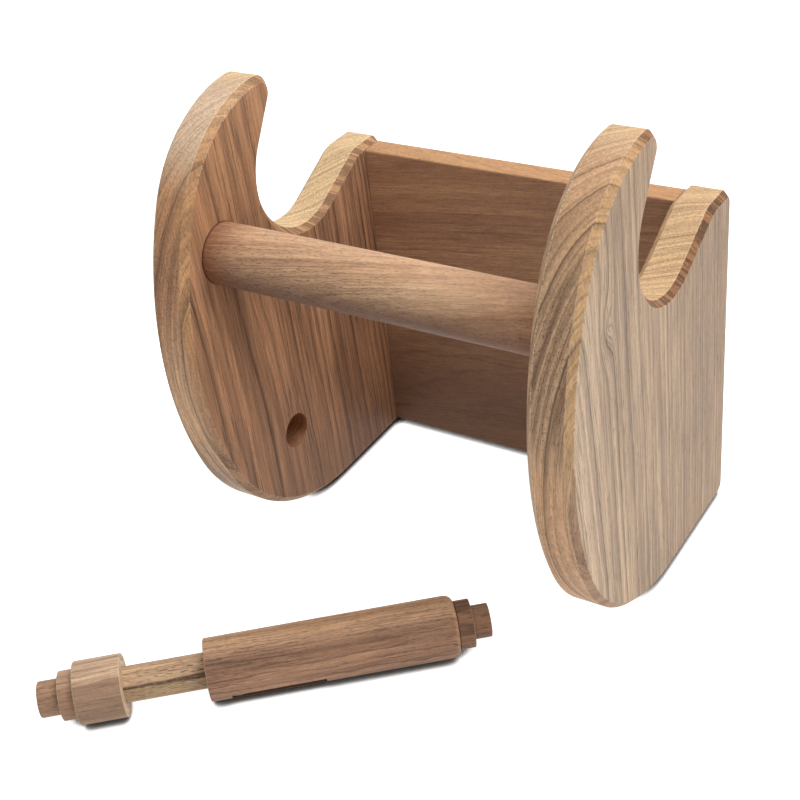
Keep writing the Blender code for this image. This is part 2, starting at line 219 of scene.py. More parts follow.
def cheek_outline(behind):
    """The cheek from its side, as distance from the wall and height, clockwise from the back."""
    pen = Pen(-behind, CORNER_RADIUS, 90)
    pen.line(BACK_HEIGHT - 2 * CORNER_RADIUS)
    pen.arc(CORNER_RADIUS, 0)
    pen.line(HUMP_TOP + behind - CORNER_RADIUS)
    pen.arc(HUMP_RADIUS, -HUMP_SLOPE)
    pen.line(HUMP_FALL)
    pen.arc(NOTCH_RADIUS, HORN_LEAN)
    pen.line(HORN_RISE)
    pen.arc(TIP_RADIUS, 0)
    pen.arc(BROW_RADIUS, BROW_END)
    pen.arc(FRONT_RADIUS, FRONT_END)
    turn = math.radians(180 + FRONT_END)
    pen.arc(pen.place.y / (1 - math.cos(turn)), -180)
    pen.line(pen.place.x + behind - CORNER_RADIUS)
    pen.arc(CORNER_RADIUS, -270)
    return pen.points[:-1]


def new_object(name, body):
    """An object made from a bmesh in millimetres."""
    bmesh.ops.recalc_face_normals(body, faces=body.faces)
    mesh = bpy.data.meshes.new(name)
    body.to_mesh(mesh)
    body.free()
    obj = bpy.data.objects.new(name, mesh)
    bpy.context.scene.collection.objects.link(obj)
    return obj


def loft(rings, closed_round, capped):
    """A bmesh skin over rings of points."""
    body = bmesh.new()
    rows = [[body.verts.new(point) for point in ring] for ring in rings]
    count = len(rows[0])
    pairs = list(zip(rows, rows[1:]))
    if closed_round:
        pairs.append((rows[-1], rows[0]))
    for lower, upper in pairs:
        for index in range(count):
            after = (index + 1) % count
            body.faces.new((lower[index], lower[after], upper[after], upper[index]))
    if capped:
        body.faces.new(rows[0][::-1])
        body.faces.new(rows[-1])
    return body


def cylinder_body(radius, low, high):
    """A capped bmesh cylinder along Z."""
    body = bmesh.new()
    bmesh.ops.create_cone(
        body, cap_ends=True, segments=TURNED_STEPS, radius1=radius, radius2=radius, depth=high - low
    )
    bmesh.ops.translate(body, vec=(0, 0, (low + high) / 2), verts=body.verts)
    return body


def settled_mesh(obj):
    """The object's mesh as it is after its modifiers or its curve's bevel."""
    bpy.context.view_layer.update()
    return bpy.data.meshes.new_from_object(
        obj.evaluated_get(bpy.context.evaluated_depsgraph_get())
    )


def cut_away(obj, cutter):
    """Take the cutter out of the object for good."""
    boolean = obj.modifiers.new("cut", "BOOLEAN")
    boolean.operation = "DIFFERENCE"
    boolean.solver = "EXACT"
    boolean.object = cutter
    cut_mesh = settled_mesh(obj)
    obj.modifiers.clear()
    old = obj.data
    obj.data = cut_mesh
    bpy.data.meshes.remove(old)
    bpy.data.objects.remove(cutter, do_unlink=True)


def finish_piece(obj, body, node, look):
    """Shade the piece, dress it, and let it stand for its node."""
    mesh = obj.data
    mesh.shade_smooth()
    mesh.set_sharp_from_angle(angle=math.radians(SHARP_DEGREES))
    weighted = obj.modifiers.new("even_shading", "WEIGHTED_NORMAL")
    weighted.keep_sharp = True
    mesh.materials.clear()
    mesh.materials.append(look)
    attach(obj, body)
    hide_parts(node)
    return obj


def stand(obj):
    """Put a piece that is drawn in the holder's own millimetres into the frame."""
    obj.scale = (MM, MM, MM)
    obj.location = (0, 0, FLOOR_Z)
    return obj


def lay(obj):
    """Put a piece that is drawn along the roller's axis where the roller lies."""
    obj.scale = (MM, MM, MM)
    obj.location = Vector(ROLLER_TIP) * MM + Vector((0, 0, FLOOR_Z))
    obj.rotation_euler = (0, math.pi / 2, math.radians(ROLLER_HEADING))
    return obj


def cheek(node, side, look):
    """A side panel with eased chamfers, its back planed flat, its socket and its bore."""
    half = CHEEK_THICKNESS / 2
    flat = CHEEK_CHAMFER + FACE_MARGIN
    profile = eased([
        (flat, half, 0),
        (CHEEK_CHAMFER, half, EASING),
        (0, half - CHEEK_CHAMFER, EASING),
        (0, -half + CHEEK_CHAMFER, EASING),
        (CHEEK_CHAMFER, -half, EASING),
        (flat, -half, 0),
    ])
    centre_x = side * (INNER_WIDTH + CHEEK_THICKNESS) / 2
    outline = cheek_outline(CHEEK_CHAMFER + GAP)
    rings = []
    for inset, across in profile:
        ring = []
        for place, outward in outline:
            moved = place - inset * outward
            ring.append((centre_x + across, -moved.x, moved.y))
        rings.append(ring)
    body = loft(rings, closed_round=False, capped=True)
    geometry = body.verts[:] + body.edges[:] + body.faces[:]
    result = bmesh.ops.bisect_plane(
        body, geom=geometry, dist=PLANE_TOLERANCE, plane_co=(0, 0, 0), plane_no=(0, 1, 0),
        clear_outer=True
    )
    edges = [item for item in result["geom_cut"] if isinstance(item, bmesh.types.BMEdge)]
    bmesh.ops.holes_fill(body, edges=edges)
    obj = new_object(node + "_fine", body)

    inner_x = side * INNER_WIDTH / 2

    def blind_hole(radius, depth, from_wall, height):
        hole = new_object("hole", cylinder_body(radius, -CUTTER_MARGIN, depth))
        hole.rotation_euler = (0, side * math.pi / 2, 0)
        hole.location = (inner_x, -from_wall, height)
        cut_away(obj, hole)

    blind_hole(BAR_RADIUS + GAP, BAR_SOCKET_DEPTH, BAR_FROM_WALL, BAR_HEIGHT)
    blind_hole(ROLLER_BORE_RADIUS, ROLLER_BORE_DEPTH, ROLLER_FROM_WALL, ROLLER_HEIGHT)
    return finish_piece(stand(obj), "holder", node, look)


def back_board(look):
    """The board between the cheeks, with its long edges softened."""
    body = bmesh.new()
    bmesh.ops.create_cube(body, size=1)
    long_edges = [edge for edge in body.edges if edge.verts[0].co.x != edge.verts[1].co.x]
    height = BACK_HEIGHT - 2 * CHEEK_CHAMFER
    bmesh.ops.scale(body, vec=(INNER_WIDTH - 2 * GAP, BOARD_THICKNESS, height), verts=body.verts)
    bmesh.ops.translate(body, vec=(0, -BOARD_THICKNESS / 2, BACK_HEIGHT / 2), verts=body.verts)
    bmesh.ops.bevel(
        body, geom=long_edges, offset=EASING, segments=EASING_STEPS, profile=0.5, affect="EDGES"
    )
    return finish_piece(stand(new_object("back_board_fine", body)), "holder", "back_board", look)


def turned(name, corners, hollow=False):
    """A turned piece round Z from a profile of corners (radius, height, rounding)."""
    angles = [2 * math.pi * step / TURNED_STEPS for step in range(TURNED_STEPS)]
    rings = [
        [(radius * math.cos(angle), radius * math.sin(angle), height) for angle in angles]
        for radius, height in eased(corners)
    ]
    return new_object(name, loft(rings, closed_round=hollow, capped=not hollow))


def cross_bar(look):
    """The fixed bar, let into both cheeks."""
    half = INNER_WIDTH / 2 + BAR_SOCKET_DEPTH - GAP
    obj = turned("cross_bar_fine", [
        (BAR_RADIUS - END_MARGIN, half, 0),
        (BAR_RADIUS, half, EASING),
        (BAR_RADIUS, -half, EASING),
        (BAR_RADIUS - END_MARGIN, -half, 0),
    ])
    obj.scale = (MM, MM, MM)
    obj.rotation_euler = (0, math.pi / 2, 0)
    obj.location = Vector((0, -BAR_FROM_WALL, BAR_HEIGHT)) * MM + Vector((0, 0, FLOOR_Z))
    return finish_piece(obj, "holder", "cross_bar", look)


def roller_barrel(look):
    """The bored barrel with its slot."""
    obj = turned("roller_barrel_fine", [
        (BORE_RADIUS, BARREL_END - FACE_MARGIN, 0),
        (BORE_RADIUS, BARREL_END, 0),
        (ROLLER_RADIUS, BARREL_END, BARREL_ROUND),
        (ROLLER_RADIUS, BARREL_START, FINE_EASING),
        (BORE_RADIUS, BARREL_START, FINE_EASING),
        (BORE_RADIUS, BARREL_START + FACE_MARGIN, 0),
    ], hollow=True)
    reach = ROLLER_RADIUS + CUTTER_MARGIN
    body = bmesh.new()
    bmesh.ops.create_cube(body, size=1)
    bmesh.ops.scale(body, vec=(reach, SLOT_WIDTH, SLOT_LENGTH), verts=body.verts)
    bmesh.ops.translate(body, vec=(reach / 2, 0, SLOT_START + SLOT_LENGTH / 2), verts=body.verts)
    slot = new_object("slot", body)
    slot.rotation_euler = (0, 0, math.radians(SLOT_TURN))
    cut_away(obj, slot)
    return finish_piece(lay(obj), "roller", "roller_barrel", look)


def roller_end_plug(look):
    """The stepped plug in the barrel's end."""
    shoulder = BARREL_END + GAP
    step_end = BARREL_END + STEP_WIDTH
    tip_end = step_end + PLUG_TIP
    shank = BORE_RADIUS - GAP
    obj = turned("roller_end_plug_fine", [
        (PLUG_TIP_RADIUS - END_MARGIN, tip_end, 0),
        (PLUG_TIP_RADIUS, tip_end, FINE_EASING),
        (PLUG_TIP_RADIUS, step_end, 0),
        (STEP_RADIUS, step_end, FINE_EASING),
        (STEP_RADIUS, shoulder, 0),
        (shank, shoulder, 0),
        (shank, BARREL_END - PLUG_SHANK, 0),
        (shank - END_MARGIN, BARREL_END - PLUG_SHANK, 0),
    ])
    return finish_piece(lay(obj), "roller", "roller_end_plug", look)


def plunger_rod(look):
    """The sliding rod, whose outer end is the plunger's tip."""
    obj = turned("plunger_rod_fine", [
        (ROD_RADIUS - END_MARGIN, ROD_END, 0),
        (ROD_RADIUS, ROD_END, FINE_EASING),
        (ROD_RADIUS, 0, FINE_EASING),
        (ROD_RADIUS - END_MARGIN, 0, 0),
    ])
    return finish_piece(lay(obj), "plunger", "plunger_rod", look)


def plunger_collar(look):
    """The stepped collar on the rod."""
    bore = ROD_RADIUS + GAP
    obj = turned("plunger_collar_fine", [
        (bore, COLLAR_END - FACE_MARGIN, 0),
        (bore, COLLAR_END, 0),
        (ROLLER_RADIUS, COLLAR_END, FINE_EASING),
        (ROLLER_RADIUS, COLLAR_START, FINE_EASING),
        (STEP_RADIUS, COLLAR_START, 0),
        (STEP_RADIUS, PLUNGER_TIP, FINE_EASING),
        (bore, PLUNGER_TIP, FINE_EASING),
        (bore, PLUNGER_TIP + FACE_MARGIN, 0),
    ], hollow=True)
    return finish_piece(lay(obj), "plunger", "plunger_collar", look)


def plunger_spring(look):
    """The wire spring between rod and plug, drawn at one length; the real one shortens as the
    plunger goes in.
    """
    low, high = SPRING_START + WIRE_RADIUS, SPRING_END - WIRE_RADIUS
    open_rise = (high - low - 2 * CLOSED_RISE) / OPEN_CURLS
    curve = bpy.data.curves.new("spring_wire", "CURVE")
    curve.dimensions = "3D"
    curve.bevel_depth = WIRE_RADIUS
    curve.bevel_resolution = WIRE_STEPS
    curve.use_fill_caps = True
    spline = curve.splines.new("POLY")
    spline.points.add((OPEN_CURLS + 2) * CURL_STEPS)
    for step, point in enumerate(spline.points):
        curl = step / CURL_STEPS
        opened = min(max(curl - 1, 0), OPEN_CURLS)
        height = low + CLOSED_RISE * (curl - opened) + open_rise * opened
        angle = 2 * math.pi * curl
        point.co = (COIL_RADIUS * math.cos(angle), COIL_RADIUS * math.sin(angle), height, 1)
    wire = bpy.data.objects.new("spring_wire", curve)
    bpy.context.scene.collection.objects.link(wire)
    mesh = settled_mesh(wire)
    bpy.data.objects.remove(wire, do_unlink=True)
    obj = bpy.data.objects.new("plunger_spring_fine", mesh)
    bpy.context.scene.collection.objects.link(obj)
    finish_piece(lay(obj), "roller", "plunger_spring", look)
    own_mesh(obj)
    return obj


class Tree:
    """Builds a material's node tree with short calls."""

    def __init__(self, name):
        self.material = bpy.data.materials.new(name)
        self.material.use_nodes = True
        self.nodes = self.material.node_tree.nodes
        self.links = self.material.node_tree.links
        self.shader = self.nodes["Principled BSDF"]
        self.output = self.nodes["Material Output"]

    def feed(self, socket, value):
        """Link a socket, or set a plain value on it."""
        if isinstance(value, bpy.types.NodeSocket):
            self.links.new(value, socket)
        else:
            socket.default_value = value

    def math(self, operation, first, second=0.0, third=0.0):
        """A Math node."""
        node = self.nodes.new("ShaderNodeMath")
        node.operation = operation
        for socket, value in zip(node.inputs, (first, second, third)):
            self.feed(socket, value)
        return node.outputs[0]

    def times(self, first, *others):
        """The product of values."""
        for other in others:
            first = self.math("MULTIPLY", first, other)
        return first

    def squares(self, first, second):
        """The sum of the squares of two values."""
        return self.math("MULTIPLY_ADD", first, first, self.times(second, second))

    def within_circle(self, first, second, radius):
        """One where two values lie inside a circle about zero."""
        return self.math("LESS_THAN", self.squares(first, second), radius ** 2)

    def apart(self, first, second):
        """How far two values are from each other."""
        return self.math("ABSOLUTE", self.math("SUBTRACT", first, second))

    def span(self, value, low, high, to_low=0.0, to_high=1.0, smooth=True):
        """Map a span of values to another, smoothly at both ends."""
        node = self.nodes.new("ShaderNodeMapRange")
        node.interpolation_type = "SMOOTHSTEP" if smooth else "LINEAR"
        for name, item in (("Value", value), ("From Min", low), ("From Max", high),
                           ("To Min", to_low), ("To Max", to_high)):
            self.feed(node.inputs[name], item)
        return node.outputs["Result"]

    def join(self, x, y, z):
        """Combine XYZ."""
        node = self.nodes.new("ShaderNodeCombineXYZ")
        for socket, value in zip(node.inputs, (x, y, z)):
            self.feed(socket, value)
        return node.outputs[0]

    def split(self, vector):
        """Separate XYZ."""
        node = self.nodes.new("ShaderNodeSeparateXYZ")
        self.feed(node.inputs[0], vector)
        return node.outputs[0], node.outputs[1], node.outputs[2]

    def noise(self, vector, detail=2.0, roughness=0.5):
        """Noise at the vector's own scale."""
        node = self.nodes.new("ShaderNodeTexNoise")
        node.noise_dimensions = "3D"
        for name, item in (("Vector", vector), ("Scale", 1.0), ("Detail", detail),
                           ("Roughness", roughness), ("Distortion", 0.0)):
            self.feed(node.inputs[name], item)
        return node.outputs[0]

    def random(self, value):
        """A random number for each whole value."""
        node = self.nodes.new("ShaderNodeTexWhiteNoise")
        node.noise_dimensions = "1D"
        self.feed(node.inputs["W"], value)
        return node.outputs["Value"]

    def mix(self, factor, first, second, blend="MIX"):
        """Mix two colours."""
        node = self.nodes.new("ShaderNodeMix")
        node.data_type = "RGBA"
        node.blend_type = blend
        self.feed(node.inputs["Factor"], factor)
        for socket, value in ((node.inputs[6], first), (node.inputs[7], second)):
            self.feed(socket, value if isinstance(value, bpy.types.NodeSocket) else (*value, 1.0))
        return node.outputs[2]


def srgb(red, green, blue):
    """A linear colour from the 0 to 255 values that a screen shows."""
    return tuple(
        value / 12.92 if value <= 0.04045 else ((value + 0.055) / 1.055) ** 2.4
        for value in (red / 255, green / 255, blue / 255)
    )


class Teak(Tree):
    """Oiled teak as a solid: rings round a pith line, streaks, fibres and pores along the grain.

    grain names the axes across, across and along the grain. pith is where the rings' centre lies
    in the plane across the grain, and lean is how far it moves for each millimetre along it.
    slant is how far the fibres themselves run across for each millimetre along, and grit shortens
    fibres and pores. rings gives the space between rings at two distances from the pith. tones are
    the pale, middle, dark and tinted wood. wander and ripples say how far the rings stray, and
    swirl bends them round a knot. lines, streaks and hairs say how dark those are, softness how
    dark a ring gets before the next one, and sparse how rare the pores are. unit turns the mesh's
    own lengths into millimetres.
    """

    # Each noise: how often it changes for each millimetre across and along the grain, and an
    # offset that keeps it apart from the others
    SLOW_WAVE = (0.020, 0.009, 3.1)
    QUICK_WAVE = (0.06, 0.020, 9.4)
    RIPPLE = (0.40, 0.10, 14.2)
    FIBRE = (1.3, 0.05, 1.3)
    BLOTCH = (0.03, 0.010, 21.0)
    SPECKLE = (1.4, 0.9, 33.0)
    PORE = (3.6, 0.26, 40.0)
    FLECK = (3.2, 1.2, 60.0)
    CUT_MARKS = (1.1, 1.1, 71.0)

    # How often the figure changes for each millimetre across the rings, along the grain, and
    # sideways along a ring
    BANDS, STREAKS, HAIRLINES, BROAD_STREAKS, UNEVEN_RINGS = 0.09, 0.5, 0.9, 0.32, 0.11
    FIGURE_ALONG, FIGURE_DRIFT = 0.008, 0.02

    WEAKEST_RING = 0.25
    PORE_EDGE = 0.14
    FIGURED_HEIGHT = 30.0
    SIDE_RIPPLE = 2.0

    ROUGHNESS, FIBRE_ROUGHNESS, PORE_ROUGHNESS = 0.47, 0.16, 0.15
    PORE_DEPTH, FIBRE_HEIGHT, RING_DEPTH = -0.9, 0.5, -0.35
    BUMP_STRENGTH, BUMP_HEIGHT = 0.35, 0.00012
    SPECULAR = 0.28

    def __init__(self, name, pith, rings, tones, seed, grain="XYZ", lean=(0.0, 0.0), wander=2.0,
                 lines=0.8, streaks=0.5, hairs=0.4, softness=0.6, sparse=0.66, ripples=0.5,
                 slant=(0.0, 0.0), grit=1.0, swirl=None, unit=1.0):
        super().__init__(name)
        coordinates = self.nodes.new("ShaderNodeTexCoord")
        self.place = dict(zip("XYZ", self.split(coordinates.outputs["Object"])))
        if unit != 1.0:
            self.place = {axis: self.times(value, unit) for axis, value in self.place.items()}
        self.facing = dict(zip("XYZ", self.split(coordinates.outputs["Normal"])))
        self.u, self.v, self.w = (self.place[axis] for axis in grain)
        if any(slant):
            self.u = self.math("MULTIPLY_ADD", self.w, -slant[0], self.u)
            self.v = self.math("MULTIPLY_ADD", self.w, -slant[1], self.v)
        self.grain = grain
        self.seed = seed
        self.pale, self.mid, self.dark, self.tint = (srgb(*tone) for tone in tones)
        self.ripple = self.wave(self.RIPPLE)
        self.bent = self.distance_from_pith(pith, lean, wander, ripples)
        if swirl:
            self.bent = self.swirled(**swirl)
        self.grow_rings(rings, softness)
        self.grow_figure()
        self.grow_fibres(grit, sparse)
        self.lay_tones(lines, streaks, hairs)

    def at(self, scales, grit=1.0):
        """Coordinates for one of the noises, moved by the piece's own seed."""
        across, along, offset = scales
        return self.join(
            self.math("MULTIPLY_ADD", self.u, across, self.seed + offset),
            self.math("MULTIPLY_ADD", self.v, across, self.seed * 1.7 + offset),
            self.math("MULTIPLY_ADD", self.w, along * grit, self.seed * 0.6 - offset),
        )

    def wave(self, scales):
        """A smooth wave about zero."""
        return self.math("SUBTRACT", self.noise(self.at(scales), 1.0), 0.5)

    def distance_from_pith(self, pith, lean, wander, ripples):
        """How far each point lies from the pith, with slow and quick waves."""
        across_u, across_v = (
            self.math("SUBTRACT", across, self.math("MULTIPLY_ADD", self.w, slope, start))
            for across, slope, start in zip((self.u, self.v), lean, pith)
        )
        bent = self.math("SQRT", self.squares(across_u, across_v))
        bent = self.math("MULTIPLY_ADD", self.wave(self.SLOW_WAVE), 4 * wander, bent)
        bent = self.math("MULTIPLY_ADD", self.wave(self.QUICK_WAVE), wander, bent)
        return self.math("MULTIPLY_ADD", self.ripple, ripples, bent)

    def swirled(self, v, w, reach_v, reach_w, height):
        """The rings pushed aside round a small knot that lies just under the surface."""
        across = self.math("DIVIDE", self.math("SUBTRACT", self.v, v), reach_v)
        along = self.math("DIVIDE", self.math("SUBTRACT", self.w, w), reach_w)
        bump = self.math("EXPONENT", self.times(self.squares(across, along), -1.0))
        return self.math("MULTIPLY_ADD", bump, height, self.bent)

    def grow_rings(self, rings, softness):
        """A thin dark start, then pale wood that darkens softly, with some rings far stronger."""
        near, near_space, far, far_space = rings
        growth = (1 / far_space - 1 / near_space) / (far - near)
        first = 1 / near_space - growth * near
        phase = self.times(self.bent, self.math("MULTIPLY_ADD", self.bent, growth / 2, first))
        uneven = self.join(self.times(self.bent, self.UNEVEN_RINGS), self.seed, 0.0)
        phase = self.math("MULTIPLY_ADD", self.noise(uneven, 1.0), 2.5, phase)
        self.part = self.math("FRACT", phase)
        number = self.math("FLOOR", phase)

        def strength(shift):
            value = self.random(self.math("ADD", number, self.seed + shift))
            value = self.math("POWER", value, 1.25)
            return self.math("MULTIPLY_ADD", value, 1 - self.WEAKEST_RING, self.WEAKEST_RING)

        thin = self.times(self.span(self.part, 0.20, 0.03), strength(0))
        soft = self.times(self.span(self.part, 0.4, 1.0), strength(1))
        self.line = self.math("MAXIMUM", thin, self.times(soft, softness))

    def grow_figure(self):
        """Bands, streaks and hairlines that follow the rings."""
        along = self.math("MULTIPLY_ADD", self.w, self.FIGURE_ALONG, self.seed)
        drift = self.times(self.v, self.FIGURE_DRIFT)
        bands = self.join(self.times(self.bent, self.BANDS), self.seed + 5, along)
        streaks = self.join(self.times(self.bent, self.STREAKS), drift, along)
        hairlines = self.join(self.times(self.bent, self.HAIRLINES), along, drift)
        self.bands = self.noise(bands)
        self.fine = self.noise(streaks, 3.0, 0.6)
        self.hair = self.span(self.apart(self.noise(hairlines, 2.0, 0.6), 0.5), 0.045, 0.0)

    def grow_fibres(self, grit, sparse):
        """Fibres and pores along the grain, pores mostly where a ring starts, and blotches."""
        self.fibre = self.noise(self.at(self.FIBRE, grit), 2.0, 0.7)
        self.blotch = self.noise(self.at(self.BLOTCH), 3.0, 0.55)
        self.speckle = self.noise(self.at(self.SPECKLE), 1.0)
        dash = self.noise(self.at(self.PORE, grit), 0.0)
        dash = self.math("MULTIPLY_ADD", self.span(self.part, 0.45, 0.0), 0.08, dash)
        patchy = self.span(self.blotch, 0.3, 0.6, 0.5, 1.0)
        self.pore = self.times(self.span(dash, sparse, sparse + self.PORE_EDGE), patchy)

    def lay_tones(self, lines, streaks, hairs):
        """The colour of the wood before anything that belongs to one place on the piece."""
        grainy = self.times(
            self.span(self.fibre, 0.3, 0.7, 0.80, 1.20, smooth=False),
            self.span(self.speckle, 0.2, 0.8, 0.90, 1.10, smooth=False),
        )
        self.grainy = self.join(grainy, grainy, grainy)
        streak = self.times(self.span(self.fine, 0.42, 0.68), streaks)
        hair = self.times(self.hair, self.span(self.blotch, 0.3, 0.6, 0.4 * hairs, hairs))
        self.shade = self.math("MAXIMUM", streak, hair)
        colour = self.mix(self.span(self.bands, 0.34, 0.66), self.pale, self.mid)
        colour = self.mix(self.span(self.blotch, 0.42, 0.68, 0.0, 0.6), colour, self.tint)
        colour = self.mix(self.shade, colour, self.dark)
        colour = self.mix(self.times(self.line, lines), colour, self.dark)
        self.colour = self.mix(1.0, colour, self.grainy, "MULTIPLY")

    def cover(self, amount, tone, dark_lines=0.0, dark=None):
        """Lay a tone over part of the piece, with as much of its dark lines as asked."""
        tone = srgb(*tone)
        if dark_lines:
            cross = self.math("MAXIMUM", self.line, self.times(self.shade, 0.9))
            dark = srgb(*dark) if dark else self.dark
            tone = self.mix(self.times(cross, dark_lines), tone, dark)
            tone = self.mix(1.0, tone, self.grainy, "MULTIPLY")
        self.colour = self.mix(amount, self.colour, tone)

    def fade(self, value, start, end, amount, tone, dark_lines=0.0):
        """Lay a tone that grows from nothing at the start to its full amount at the end."""
        self.cover(self.span(value, start, end, 0.0, amount), tone, dark_lines)

    def tinted(self, amount, tint):
        """Multiply the colour of part of the piece."""
        self.colour = self.mix(amount, self.colour, self.mix(1.0, self.colour, tint, "MULTIPLY"))

    def endwise(self):
        """How squarely the surface cuts across the grain."""
        return self.math("ABSOLUTE", self.facing[self.grain[2]])

    def end_grain(self, tone, amount=0.85, dark_lines=0.9, dark=None, front_tone=None,
                  front_lines=1.0):
        """End grain is warmer and yellower, with its rings as thin cross lines.

        On a cheek, front_tone and front_lines are for what lies in front of the notch. dark is
        the lines' own tone.
        """
        cut = self.span(self.endwise(), 0.45, 0.85, 0.0, amount)
        if front_tone:
            self.cover(cut, front_tone, front_lines)
            cut = self.times(cut, self.behind_notch())
        self.cover(cut, tone, dark_lines, dark)

    def behind_notch(self):
        """One behind the notch of a cheek, nothing in front of it."""
        return self.span(self.place["Y"], NOTCH_FRONT, NOTCH_BACK)

    def before_notch(self, least=0.0):
        """One in front of the notch of a cheek, and the least amount behind it."""
        return self.span(self.place["Y"], NOTCH_BACK, NOTCH_FRONT, least, 1.0)

    def figured_height(self):
        """The height on a cheek, shifted by the bands, so that no tone ends in a level line."""
        return self.math("MULTIPLY_ADD", self.bands, self.FIGURED_HEIGHT, self.place["Z"])

    def chamfers(self, side, tone, pale_edge, low=None, hump=None, hump_dark=None, amount=0.8,
                 wear_and_highlight=1.0):
        """The chamfers that face one way along X, and their pale arrises, partly scuffed wood and
        partly a painted highlight.

        tone is laid by amount from the middle of the front up, and low, where given, below that.
        hump and hump_dark are the tones behind the notch. pale_edge is the arrises' own tone, and
        wear_and_highlight says how strong it is.
        """
        level = self.times(self.facing["X"], side)
        uneven = self.noise(self.at(self.CUT_MARKS), 1.0)
        uneven = self.span(uneven, 0.3, 0.7, -0.1, 0.1, smooth=False)
        leaning = self.math("ADD", level, uneven)
        slanted = self.times(self.span(leaning, 0.50, 0.68), self.span(leaning, 0.90, 0.76))
        ragged = self.span(self.speckle, 0.3, 0.6, 0.5 * amount, amount)
        ragged = self.times(slanted, ragged)
        height = self.figured_height()
        if low:
            greyer = self.span(height, GOLDEN_ABOVE, GREYER_BELOW)
            self.cover(self.times(ragged, greyer), low, 0.7)
        golden = self.span(height, GREYER_BELOW, GOLDEN_ABOVE, 0.0 if low else 0.3, 1.0)
        self.cover(self.times(ragged, golden), tone, 0.8)
        if hump:
            behind = self.times(slanted, self.behind_notch())
            self.cover(self.times(behind, 0.95), hump, 0.6, hump_dark)
            upper = self.span(self.place["Z"], 106, 124, 0.65, 0.8)
            cut = self.times(self.span(self.fine, 0.42, 0.54), upper)
            self.cover(self.times(behind, cut), hump_dark)
        # The arrises' pale line: partly scuffed wood, partly a painted highlight where the chamfer
        # turns at a grazing angle.
        outer = self.times(self.span(leaning, 0.08, 0.3), self.span(leaning, 0.62, 0.4))
        inner = self.times(self.span(leaning, 0.76, 0.86), self.span(level, 0.995, 0.95))
        rubbed_and_lit = self.times(self.span(self.speckle, 0.35, 0.55), self.before_notch(0.25))
        arris = self.times(self.math("MAXIMUM", outer, inner), rubbed_and_lit)
        patchy = self.span(self.blotch, 0.35, 0.55, 0.15 * wear_and_highlight, 0.6 * wear_and_highlight)
        self.cover(self.times(arris, patchy), pale_edge)

    def narrow_edge(self, tint, foot_bounce_light, foot, streak, amount, low, high):
        """Tint the front edge between the chamfers, with dark streaks between two heights.

        The foot's tint is painted bounce light from the floor, which comes in below the height that
        foot gives.
        """
        sideways = self.math("ABSOLUTE", self.facing["X"])
        front = self.times(
            self.span(self.facing["Y"], -0.05, -0.4), self.span(sideways, 0.62, 0.4),
            self.before_notch(),
        )
        self.tinted(front, tint)
        bounce_lit_foot = self.span(self.place["Z"], foot, foot - FOOT_FADE)
        self.tinted(self.times(front, bounce_lit_foot), foot_bounce_light)
        height = self.figured_height()
        between = self.times(
            self.span(height, low, low + STREAK_FADE), self.span(height, high + STREAK_FADE, high)
        )
        front = self.times(front, self.span(between, 0.0, 1.0, 0.08, 1.0))
        broad = self.join(self.times(self.bent, self.BROAD_STREAKS), self.seed + 3, 0.0)
        broad = self.span(self.noise(broad, 3.0, 0.7), 0.46, 0.57, 0.0, amount)
        self.cover(self.times(front, broad), streak, 0.6)
        flecks = self.span(self.noise(self.at(self.FLECK), 0.0), 0.62, 0.76, 0.0, 0.6)
        self.cover(self.times(front, flecks), FLECK_TONE)

    def rims(self, tone, amount=0.6, low=-100.0, high=300.0):
        """The scuffed pale edges of a turned piece, between two places along it."""
        cut = self.endwise()
        edge = self.times(self.span(cut, 0.12, 0.4), self.span(cut, 0.97, 0.75))
        within = self.math("COMPARE", self.w, (low + high) / 2, (high - low) / 2)
        pale_edge = self.span(self.blotch, 0.3, 0.6, 0.5 * amount, amount)
        self.cover(self.times(edge, within, pale_edge), tone)

    def across(self, turn):
        """How far across a turned piece, in one direction round it, rippled with its figure."""
        u, v = (self.place[axis] for axis in self.grain[:2])
        plain = self.math("MULTIPLY_ADD", v, math.sin(turn), self.times(u, math.cos(turn)))
        return self.math("MULTIPLY_ADD", self.ripple, self.SIDE_RIPPLE, plain)

    def painted_side_shading(self, turn, start, end, amount, tone, dark_lines=0.5):
        """Painted shading on one side of a turned piece: a tone, darker for a shaded side and
        lighter for a lit one, which grows from start to end across it.
        """
        self.fade(self.across(turn), start, end, amount, tone, dark_lines)

    def striped_side(self, turn, start, end, amount, tone, stripe, low, high):
        """A tone on one side of a turned piece, with a dark stripe where it starts.

        Both come in from low to high along the piece.
        """
        across = self.across(turn)
        along = self.span(self.w, low, high)
        self.cover(self.times(self.span(across, start, end, 0.0, amount), along), tone, 0.5)
        broken = self.math("MULTIPLY_ADD", self.speckle, 0.5, self.times(self.fibre, 0.5))
        broken = self.times(along, self.span(broken, 0.30, 0.55, 0.6, 1.0))
        thin = self.span(self.apart(across, start), 1.1, 0.35, 0.0, 0.9)
        self.cover(self.times(thin, broken), stripe)

    def hollow(self, inside, tone):
        """Painted shade: a darker tone in a hole."""
        self.cover(self.times(inside, 0.85), tone, 0.8)

